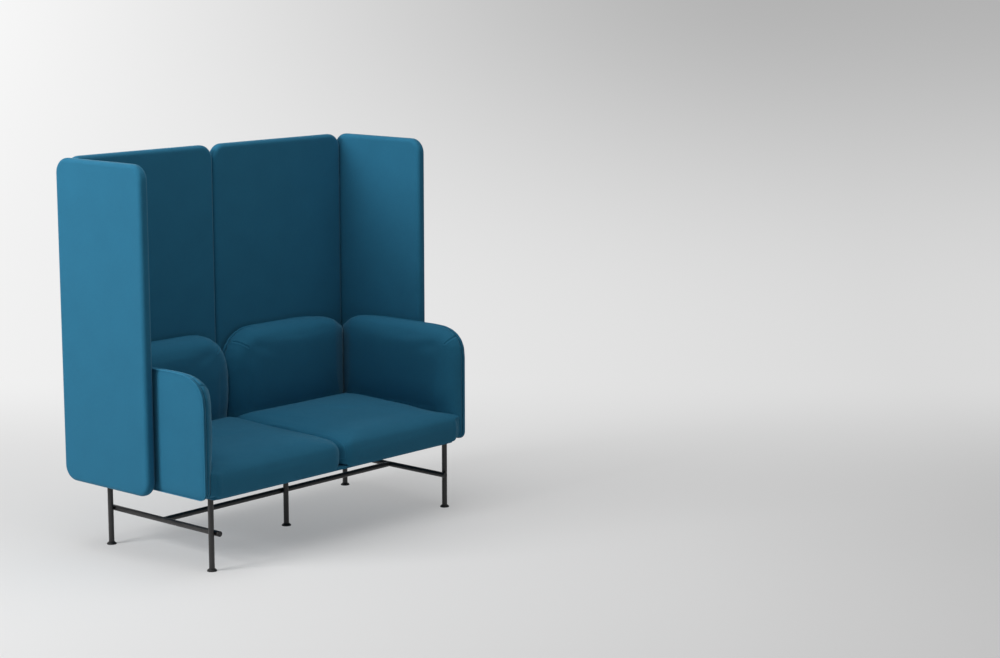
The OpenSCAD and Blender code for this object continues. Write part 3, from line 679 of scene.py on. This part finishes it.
def start_tree(name, step):
    """A node tree that takes a line, and that line at even steps."""
    tree = bpy.data.node_groups.new(name, "GeometryNodeTree")
    for way in ("INPUT", "OUTPUT"):
        tree.interface.new_socket("Geometry", in_out=way, socket_type="NodeSocketGeometry")
    way_in = tree.nodes.new("NodeGroupInput")
    line = tree.nodes.new("GeometryNodeMeshToCurve")
    even = tree.nodes.new("GeometryNodeResampleCurve")
    even.mode = "LENGTH"
    even.inputs["Length"].default_value = step
    tree.links.new(way_in.outputs["Geometry"], line.inputs[0])
    tree.links.new(line.outputs[0], even.inputs["Curve"])
    return tree, even.outputs[0]


def round_cord(tree, path, radius, sides):
    """A round cord along a path."""
    ring = tree.nodes.new("GeometryNodeCurvePrimitiveCircle")
    ring.inputs["Resolution"].default_value = sides
    ring.inputs["Radius"].default_value = radius
    sweep = tree.nodes.new("GeometryNodeCurveToMesh")
    sweep.inputs["Fill Caps"].default_value = True
    tree.links.new(path, sweep.inputs["Curve"])
    tree.links.new(ring.outputs[0], sweep.inputs["Profile Curve"])
    return sweep.outputs[0]


def end_tree(tree, made):
    smooth = tree.nodes.new("GeometryNodeSetShadeSmooth")
    real = tree.nodes.new("GeometryNodeRealizeInstances")
    colour = tree.nodes.new("GeometryNodeSetMaterial")
    colour.inputs["Material"].default_value = sewing
    way_out = tree.nodes.new("NodeGroupOutput")
    tree.links.new(made, smooth.inputs["Geometry"])
    tree.links.new(smooth.outputs[0], real.inputs[0])
    tree.links.new(real.outputs[0], colour.inputs["Geometry"])
    tree.links.new(colour.outputs[0], way_out.inputs[0])
    return tree


def seam_lip(radius):
    """A round folded lip of cloth along a line."""
    tree, line = start_tree("seam_lip", LINE_STEP)
    return end_tree(tree, round_cord(tree, line, radius, sides=8))


def stitching():
    """Short stitches one after another along a line."""
    tree, line = start_tree("stitches", STITCH_PITCH)
    bit = tree.nodes.new("GeometryNodeCurvePrimitiveLine")
    bit.inputs["Start"].default_value = (-STITCH_LENGTH / 2, 0, 0)
    bit.inputs["End"].default_value = (STITCH_LENGTH / 2, 0, 0)
    thread = round_cord(tree, bit.outputs[0], STITCH_THREAD, sides=6)
    tangent = tree.nodes.new("GeometryNodeInputTangent")
    align = tree.nodes.new("FunctionNodeAlignEulerToVector")
    align.axis = "X"
    copies = tree.nodes.new("GeometryNodeInstanceOnPoints")
    tree.links.new(tangent.outputs[0], align.inputs["Vector"])
    tree.links.new(line, copies.inputs["Points"])
    tree.links.new(thread, copies.inputs["Instance"])
    tree.links.new(align.outputs[0], copies.inputs["Rotation"])
    return end_tree(tree, copies.outputs[0])


def sewn(name, points, tree, closed):
    """Sews along a line on the sofa with one of the trees."""
    count = len(points)
    edges = [(i, i + 1) for i in range(count - 1)]
    if closed:
        edges.append((count - 1, 0))
    mesh = bpy.data.meshes.new(name)
    mesh.from_pydata([tuple(p) for p in points], edges, [])
    piece = bpy.data.objects.new(name, mesh)
    scene.collection.objects.link(piece)
    piece.modifiers.new("sewing", "NODES").node_group = tree
    baked(piece)
    shade_smooth(piece.data)
    lay_weave(piece)
    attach(piece, "sofa")


# Soft pieces


def ramp(value, low, high):
    """0 up to low, 1 from high."""
    return np.clip((value - low) / (high - low), 0, 1)


def smooth_ramp(value, low, high):
    share = ramp(value, low, high)
    return share * share * (3 - 2 * share)


def soft_start(node):
    """A smooth even skin over a node's padding."""
    skin = merged(node)
    mesh = bpy.data.meshes.new(node + "_padding")
    skin.to_mesh(mesh)
    skin.free()
    piece = new_piece(node + "_cover", mesh)
    even = piece.modifiers.new("even", "REMESH")
    even.mode = "VOXEL"
    even.voxel_size = VOXEL
    ease = piece.modifiers.new("ease", "SMOOTH")
    ease.factor = 0.5
    ease.iterations = 6
    return baked(piece)


def calmed(mesh, moved, rounds):
    """Movements evened out between neighbouring points, so that no small creases stay."""
    ends = np.empty(len(mesh.edges) * 2, np.int32)
    mesh.edges.foreach_get("vertices", ends)
    first, second = ends.reshape(-1, 2).T
    count = np.maximum(np.bincount(ends, minlength=len(moved)), 1)[:, None]
    for _ in range(rounds):
        total = np.zeros_like(moved)
        for axis in range(3):
            total[:, axis] = np.bincount(first, moved[second, axis], len(moved))
            total[:, axis] += np.bincount(second, moved[first, axis], len(moved))
        moved = (moved + total / count) / 2
    return moved


def swollen(piece, keep):
    """Where a cover's points come to rest under pressure. Keep is how firmly each is held."""
    pins = piece.vertex_groups.new(name="held")
    for i, weight in enumerate(keep):
        if weight > HOLD_LEAST:
            pins.add([i], float(weight), "REPLACE")
    work = piece.modifiers.new("swell", "CLOTH")
    for key, value in CLOTH_SETTINGS.items():
        setattr(work.settings, key, value)
    work.settings.effector_weights.gravity = 0
    work.point_cache.frame_start = 1
    work.point_cache.frame_end = SWELL_FRAMES
    for number in range(1, SWELL_FRAMES + 1):
        scene.frame_set(number)
    graph = bpy.context.evaluated_depsgraph_get()
    found = places(piece.evaluated_get(graph).data)
    piece.modifiers.clear()
    piece.vertex_groups.clear()
    scene.frame_set(1)
    return found


def puff(piece, held, reach, limit):
    """Swells a cover over its filling. Held gives, for each point, how far it is kept from moving
    (1 is not at all). No point ends further than reach from its place, and limit keeps the cover
    on its own side of its neighbours."""
    mesh = piece.data
    rest = places(mesh)
    keep = held(rest)
    bulge = rest
    put_places(mesh, rest - facings(mesh) * (SLACK * (1 - LESS_SLACK * keep))[:, None])
    bulge = swollen(piece, keep)
    moved = calmed(mesh, bulge - rest, CALM_SWELL) * (1 - keep)[:, None]
    far = np.linalg.norm(moved, axis=1)
    ease = reach * np.tanh(far / reach) / np.maximum(far, 1e-9)
    put_places(mesh, limit(rest + moved * ease[:, None]))
    finer = piece.modifiers.new("finer", "SUBSURF")
    finer.levels = finer.render_levels = 1
    baked(piece)
    put_places(piece.data, limit(places(piece.data)))


def near_line(points, line, width):
    """1 on a line, falling to 0 at a distance from it."""
    tree = KDTree(len(line))
    for i, p in enumerate(line):
        tree.insert(p, i)
    tree.balance()
    far = np.array([tree.find(p)[2] for p in points])
    return np.clip(1 - far / width, 0, 1)


def press_line(piece, line, width, depth):
    """Draws the cover in along a line, as a seam does."""
    where = places(piece.data)
    share = near_line(where, line, width)
    deep = depth * (1 - (1 - share) ** 2) ** 2
    put_places(piece.data, where - facings(piece.data) * deep[:, None])


def dart_line(side, start, end):
    """Points along a dart, on one side of the sofa."""
    count = max(int(math.dist(start, end) / LINE_STEP), 2)
    spots = [[a + (b - a) * t / count for a, b in zip(start, end)] for t in range(count + 1)]
    return [(side * x, y, z) for x, y, z in spots]


def drawn_back(depth, mitre, height):
    """How far a pad's face is drawn towards its board: into the crease at the mitre, and above the
    seat, where it tucks in behind the cushion. Depth is the distance from the board. The second
    value is the share of it along the board, which keeps the two pads closed at the mitre."""
    near = 1 - ramp(mitre, 0, CREASE_WIDTH)
    tuck = TUCK_DEPTH * ramp(SEAT_TOP + TUCK_HEIGHT - height, 0, TUCK_HEIGHT) ** 2
    back = np.maximum(CREASE_DEPTH * near**2, tuck) * ramp(depth, 0, FOAM_FADE)
    return back, back * near


def fuller_top(mitre, height):
    """Lift that keeps a pad's top full until shortly before the crease at the mitre."""
    share = smooth_ramp(mitre, 0, TOP_RISE) * (1 - smooth_ramp(mitre, *TOP_FALL))
    return TOP_LIFT * share * ramp(height, *TOP_HEIGHT)


def pad_cover(node, side, dart_ends, measured, limit, back_way, along_way, top_along_x):
    """The cover of an arm's or a back half's pad. Measured gives the points' distances from the
    board and from the mitre. The two ways are (x, y) directions, back to the board and along it
    to the mitre's plane."""
    piece = soft_start(node)
    line = dart_line(side, *dart_ends)
    dart = Skin(piece.data).onto(line)

    def held(p):
        depth, mitre = measured(p)
        return np.maximum.reduce([
            1 - ramp(depth, *HOLD_BOARD),
            1 - ramp(mitre, *HOLD_MITRE),
            1 - ramp(side * p[:, 0], *HOLD_MIDDLE),
            near_line(p, dart, HOLD_DART),
        ])

    puff(piece, held, PAD_REACH, limit)
    p = places(piece.data)
    depth, mitre = measured(p)
    back, along = drawn_back(depth, mitre, p[:, 2])
    lift = fuller_top(mitre, p[:, 2])
    p[:, :2] += back[:, None] * back_way + along[:, None] * along_way
    p[:, 2] += lift
    put_places(piece.data, p)
    press_line(piece, Skin(piece.data).onto(line), DART_WIDTH, DART_DEPTH)
    lay_weave(piece, top_along_x)
    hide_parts(node)
    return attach(piece, "sofa")


def arm_cover(side, word):
    node = f"arm_pad_{word}"
    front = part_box(node)[0][1] - FRONT_SWELL
    outward, rearward = np.array((side, 0.0)), np.array((0.0, 1.0))

    def measured(p):
        return ARM_IN - side * p[:, 0], side * p[:, 0] - p[:, 1] - MITRE

    def limit(p):
        p = p.copy()
        p[:, 0] = side * np.minimum(side * p[:, 0], ARM_IN)
        p[:, 1] -= np.maximum((MITRE + MITRE_GAP) - (side * p[:, 0] - p[:, 1]), 0)
        p[:, 1] = np.maximum(p[:, 1], front)
        return p

    return pad_cover(node, side, ARM_DART, measured, limit, outward, rearward, top_along_x=False)


def back_cover(side, word):
    node = f"back_pad_{word}"
    outward, rearward = np.array((side, 0.0)), np.array((0.0, 1.0))

    def measured(p):
        return BACK_IN - p[:, 1], MITRE - (side * p[:, 0] - p[:, 1])

    def limit(p):
        p = p.copy()
        p[:, 1] = np.minimum(p[:, 1], BACK_IN)
        p[:, 0] = side * np.maximum(side * p[:, 0], MIDDLE_GAP)
        p[:, 0] -= side * np.maximum((side * p[:, 0] - p[:, 1]) - (MITRE - MITRE_GAP), 0)
        p[:, 2] = np.maximum(p[:, 2], SEAT_LOW)
        return p

    return pad_cover(node, side, BACK_DART, measured, limit, rearward, outward, top_along_x=True)


def meet(piece, other, axis, way, start):
    """Lets a cushion's side fill out along an axis against a pad, from where its start is."""
    pad = Skin(other.data)
    ahead = Vector([way if i == axis else 0 for i in range(3)])
    where = places(piece.data)
    share = ramp(way * where[:, axis] - start, 0, MEET_FADE)
    share *= ramp(SEAT_TOP - where[:, 2], 0, MEET_FADE)
    moved = np.zeros_like(where)
    for i in np.flatnonzero(share):
        spot, _, _, far = pad.tree.ray_cast(Vector(where[i]), ahead, MEET_REACH)
        if spot:
            moved[i, axis] = way * share[i] * max(far - MEET_GAP, 0)
    put_places(piece.data, where + calmed(piece.data, moved, CALM_MEET))


def seat_cover(side, word, arm, back):
    node = f"seat_cushion_{word}"
    piece = soft_start(node)
    rear_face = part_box(node)[1][1]
    # Rays from inside, from low in the front over the top and down to the rear
    turns = [math.radians(t / 4) for t in range(-78 * 4, -252 * 4, -1)]
    fan = [(0, math.sin(t), -math.cos(t)) for t in turns]
    run = Skin(piece.data).round((side * SEAM_X, *SEAM_INSIDE), fan)
    seam = evenly(np.array(run), LINE_STEP, closed=False)

    def held(p):
        return np.maximum.reduce([
            1 - ramp(p[:, 2] - SEAT_LOW, *HOLD_SEAT_BASE),
            1 - ramp(side * p[:, 0], *HOLD_SEAT_MIDDLE),
            ramp(p[:, 1], *(rear_face - d for d in HOLD_SEAT_REAR)),
            ramp(side * p[:, 0], *HOLD_SEAT_OUTER),
            near_line(p, seam, SEAM_WIDTH),
        ])

    def limit(p):
        p = p.copy()
        p[:, 2] = np.maximum(p[:, 2], SEAT_LOW)
        p[:, 0] = side * np.maximum(side * p[:, 0], MIDDLE_GAP)
        return p

    puff(piece, held, SEAT_REACH, limit)
    meet(piece, arm, 0, side, SEAT_SIDE)
    meet(piece, back, 1, 1, SEAT_REAR)
    p = places(piece.data)
    front = ramp(-p[:, 1], *FRONT_EDGE) * (1 - ramp(p[:, 2] - SEAT_LOW, *HANG_FADE))
    p[:, 2] -= FRONT_HANG * front
    put_places(piece.data, p)
    press_line(piece, seam, SEAM_WIDTH, SEAM_PRESS)
    lay_weave(piece)
    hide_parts(node)
    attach(piece, "sofa")
    line = Skin(piece.data).onto(seam, -SEAM_SINK)
    sewn(f"{node}_seam", line, seam_lip(WELT_SEAT), closed=False)


# Panels, screens and base


def line_round(outline, spread, at):
    """A line round a panel, at a distance in from its outline and at a depth."""
    distance, depth = at
    return [spread(u, v, depth) for u, v in inset_line(outline, distance)]


def arm_panel(side, word):
    """The outer panel of an arm, drawn tight over its board, with its welt and stitches."""
    node = f"arm_board_{word}"
    outline = board_outline(node, 0, side, rounds=3)
    spread = out_of(0, side * ARM_IN, side)
    rings = [
        (0.004, 0.0002), (0.0, 0.001), (-0.0005, 0.004), (0.0, 0.0062), (0.0025, 0.0074),
        (0.008, 0.0090), (0.016, 0.0103), (0.024, 0.0110),
    ]
    piece = covered_board(node, outline, spread, rings, PANEL_GRID, PANEL_RISE)
    seam = line_round(outline, spread, ARM_WELT_AT)
    sewn(f"{node}_seam", seam, seam_lip(WELT_ARM), closed=True)
    row = Skin(piece.data).onto(line_round(outline, spread, STITCHES_AT), STITCHES_PROUD)
    sewn(f"{node}_stitches", row, stitching(), closed=True)


def back_panel(word):
    """The rear panel of a back half, with its welt."""
    node = f"back_board_{word}"
    outline = board_outline(node, 1, 1, rounds=3)
    spread = out_of(1, BACK_IN, 1)
    rings = [
        (0.004, 0.0002), (0.0, 0.001), (-0.0005, 0.004), (0.0, 0.0068), (0.0015, 0.0082),
        (0.006, 0.0098), (0.012, 0.0108),
    ]
    covered_board(node, outline, spread, rings, PANEL_GRID, PANEL_RISE)
    seam = line_round(outline, spread, BACK_WELT_AT)
    sewn(f"{node}_seam", seam, seam_lip(WELT_BACK), closed=True)


def screen_rings(thickness):
    """A screen's section round its edge: each face eases into the rounded edge."""
    r = SCREEN_EDGE
    rings = [(r + further, 0.0) for further in SCREEN_RINGS]
    for t in range(0, 91, 10):
        a = math.radians(t)
        rings.append((r * (1 - math.sin(a)), r * (1 - math.cos(a))))
    return rings + [(d, thickness - z) for d, z in rings[::-1]]


def screen_cover(node, axis, way):
    """A screen's cover. The screen is thin along an axis, and its outer face looks one way."""
    low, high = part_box(node)
    wide = 1 - axis
    outline = rounded_rectangle(
        low[wide], low[2], high[wide], high[2], SCREEN_CORNER, SCREEN_STEP
    )
    spread = out_of(axis, (low if way > 0 else high)[axis], way)
    covered_board(node, outline, spread, screen_rings(high[axis] - low[axis]), SCREEN_GRID)


def base_cover():
    """The cloth over the panel under the cushions."""
    node = "seat_base_panel"
    low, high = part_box(node)
    outline = board_outline(node, 2, -1, rounds=2)
    outline[:, 1] += BASE_BACK * ramp(-outline[:, 1], *BASE_FRONT)
    thick = high[2] - low[2]
    rings = [(0.010, 0.0), (0.002, 0.0), (0.0006, 0.0006), (0.0, 0.002)]
    rings += [(d, thick - z) for d, z in rings[::-1]]
    covered_board(node, outline, out_of(2, low[2], 1), rings, BASE_GRID)


for side, word in ((-1, "left"), (1, "right")):
    arm = arm_cover(side, word)
    back = back_cover(side, word)
    seat_cover(side, word, arm, back)
    arm_panel(side, word)
    back_panel(word)
    screen_cover(f"side_screen_{word}", 0, side)
    screen_cover(f"rear_screen_{word}", 1, 1)
base_cover()


# Camera, backdrop and light


def place_camera():
    """The photograph's view of the sofa. Returns the direction to the picture's right."""
    ahead = AHEAD.normalized()
    across = ahead.cross(UP).normalized()
    upward = across.cross(ahead).normalized()
    turn = Matrix((across, upward, -ahead)).transposed().to_4x4()
    turn.translation = EYE
    data = bpy.data.cameras.new("photo_camera")
    data.lens = FOCAL_MM
    data.sensor_width = FILM_MM
    data.clip_end = 200
    camera = bpy.data.objects.new("photo_camera", data)
    camera.matrix_world = turn
    scene.collection.objects.link(camera)
    scene.camera = camera
    return across


def backdrop_material(across, away):
    """A pale floor lit by the lamps, which fades into a glowing backdrop behind the sofa. The glow
    falls off from left to right as painted light, and the floor's colour is painted lighter to
    the right.
    """
    n = Nodes("studio_backdrop")

    def metres(direction):
        """How far a place is from the sofa in a direction."""
        node = n.add("ShaderNodeVectorMath", operation="DOT_PRODUCT")
        n.join(n.place, node.inputs[0])
        node.inputs[1].default_value = direction
        return node.outputs["Value"]

    sideways = metres(across)
    # Painted light: the glow is brightest up on the left, towards the key lamp, and falls off to
    # the right
    low_glow_painted_falloff = n.ranged(sideways, (-2.9, 2.9), (0.92, 0.70))
    high_glow_painted_falloff = n.ranged(sideways, (-3.4, 2.6), (1.0, 0.44), smooth=True)
    rise = n.ranged(metres(UP), (0.0, 2.1), (0, 1), smooth=True)
    change = n.maths("SUBTRACT", high_glow_painted_falloff, low_glow_painted_falloff)
    tone = n.maths("ADD", low_glow_painted_falloff, n.maths("MULTIPLY", rise, change))
    # It glows fully for the camera and for reflections, and less as a light on the sofa
    path = n.add("ShaderNodeLightPath").outputs
    seen = n.maths("MAXIMUM", path["Is Camera Ray"], path["Is Glossy Ray"])
    glow = n.add("ShaderNodeEmission")
    n.join(tone, glow.inputs["Color"])
    n.join(n.ranged(seen, (0, 1), (0.3, 1)), glow.inputs["Strength"])
    # Painted light: the floor's colour grows lighter to the right, standing in for a lamp there
    floor_painted_light = n.ranged(sideways, (-1.5, 1.5), (0.72, 0.90))
    n.join(floor_painted_light, n.shader.inputs["Base Color"])
    n.set(Roughness=0.8, Specular_IOR_Level=0.2)
    both = n.add("ShaderNodeMixShader")
    # The floor near the sofa glows too, at a third or more: painted light that lightens the sofa's
    # shadow on it
    n.join(n.ranged(metres(away), (-0.4, 2.8), (0.35, 1), smooth=True), both.inputs[0])
    n.join(n.shader.outputs[0], both.inputs[1])
    n.join(glow.outputs[0], both.inputs[2])
    n.join(both.outputs[0], n.tree.nodes["Material Output"].inputs["Surface"])
    return n.material


def place_backdrop(across, away):
    """A wide sweep: floor, curve and wall."""
    front, wall, top, half_width = -10.0, 5.0, 5.0, 12.0
    bend = 2.0  # radius of the curve
    profile = [(front, 0.0), (wall - bend, 0.0)]
    for t in range(5, 91, 5):
        a = math.radians(t)
        profile.append((wall - bend + bend * math.sin(a), bend - bend * math.cos(a)))
    profile.append((wall, top))
    points = [
        tuple(across * s + away * w + UP * z) for w, z in profile for s in (-half_width, half_width)
    ]
    faces = [(2 * i, 2 * i + 1, 2 * i + 3, 2 * i + 2) for i in range(len(profile) - 1)]
    mesh = bpy.data.meshes.new("studio_backdrop")
    mesh.from_pydata(points, [], faces)
    shade_smooth(mesh)
    mesh.materials.append(backdrop_material(across, away))
    sweep = bpy.data.objects.new("studio_backdrop", mesh)
    scene.collection.objects.link(sweep)


def soft_lamp(name, spot, size, power):
    """A square lamp that points at the sofa's middle."""
    data = bpy.data.lights.new(name, "AREA")
    data.size = size
    data.energy = power
    lamp = bpy.data.objects.new(name, data)
    lamp.location = spot
    lamp.rotation_euler = (MIDDLE - spot).to_track_quat("-Z", "Y").to_euler()
    scene.collection.objects.link(lamp)


across = place_camera()
away = UP.cross(across).normalized()
place_backdrop(across, away)
soft_lamp("key_light", MIDDLE + Vector((-4.1, 1.1, 2.0)), size=1.7, power=150)
soft_lamp("top_light", MIDDLE - away * 0.5 + UP * 3.4, size=3.5, power=85)
soft_lamp("fill_light", MIDDLE + across * 4.5 - away * 2.0 + UP * 1.2, size=2.5, power=8)

world = bpy.data.worlds.new("studio")
scene.world = world
world.use_nodes = True
air = world.node_tree.nodes["Background"].inputs
air["Color"].default_value = (0.9, 0.9, 0.9, 1)
air["Strength"].default_value = 0.08
scene.view_settings.view_transform = "Standard"
